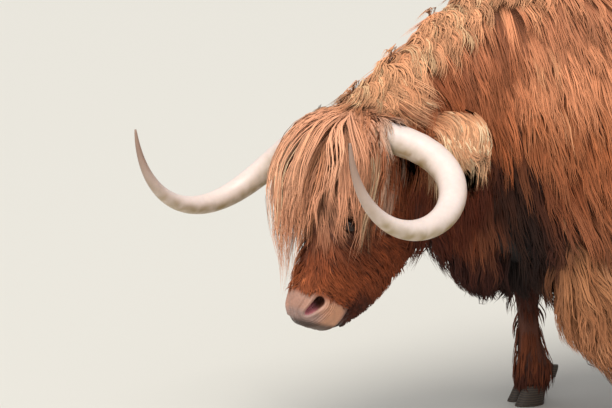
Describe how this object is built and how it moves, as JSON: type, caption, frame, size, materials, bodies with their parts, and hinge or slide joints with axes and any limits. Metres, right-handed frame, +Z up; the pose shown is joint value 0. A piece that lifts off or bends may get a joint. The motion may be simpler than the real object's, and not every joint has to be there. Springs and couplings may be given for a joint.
{
  "type": "highland cow",
  "caption": "Shaggy long-horned highland cow, life-size and still, standing with its head lowered and turned to its left.",
  "frame": {"origin": "on the floor under the centre of the whole animal's box", "axes": "+Z up; -X is the way the trunk faces; -Y is the animal's left side"},
  "size_m": [2.44, 1.048, 1.3092],
  "materials": {
    "long_coat": "long wavy red-brown hair in locks, blond at the fringe, mane and ears",
    "horn_keratin": "ivory keratin, satin, tan underneath and grey-brown at the tips",
    "hoof_keratin": "dark hoof keratin, dull with growth rings",
    "eye_surface": "wet dark brown eye"
  },
  "bodies": {
    "root": {"claw_foreleg_left_inner": "hoof_keratin", "claw_foreleg_left_outer": "hoof_keratin", "claw_foreleg_right_inner": "hoof_keratin", "claw_foreleg_right_outer": "hoof_keratin", "claw_hindleg_left_inner": "hoof_keratin", "claw_hindleg_left_outer": "hoof_keratin", "claw_hindleg_right_inner": "hoof_keratin", "claw_hindleg_right_outer": "hoof_keratin", "dewclaw_foreleg_left_inner": "hoof_keratin", "dewclaw_foreleg_left_outer": "hoof_keratin", "dewclaw_foreleg_right_inner": "hoof_keratin", "dewclaw_foreleg_right_outer": "hoof_keratin", "dewclaw_hindleg_left_inner": "hoof_keratin", "dewclaw_hindleg_left_outer": "hoof_keratin", "dewclaw_hindleg_right_inner": "hoof_keratin", "dewclaw_hindleg_right_outer": "hoof_keratin", "ear_left": "long_coat", "ear_right": "long_coat", "eye_left": "eye_surface", "eye_right": "eye_surface", "foreleg_left": "long_coat", "foreleg_right": "long_coat", "forelock": "long_coat", "head": "long_coat", "hindleg_left": "long_coat", "hindleg_right": "long_coat", "horn_left": "horn_keratin", "horn_right": "horn_keratin", "neck": "long_coat", "tail": "long_coat", "tail_switch": "long_coat", "trunk": "long_coat"}
  },
  "joints": []
}
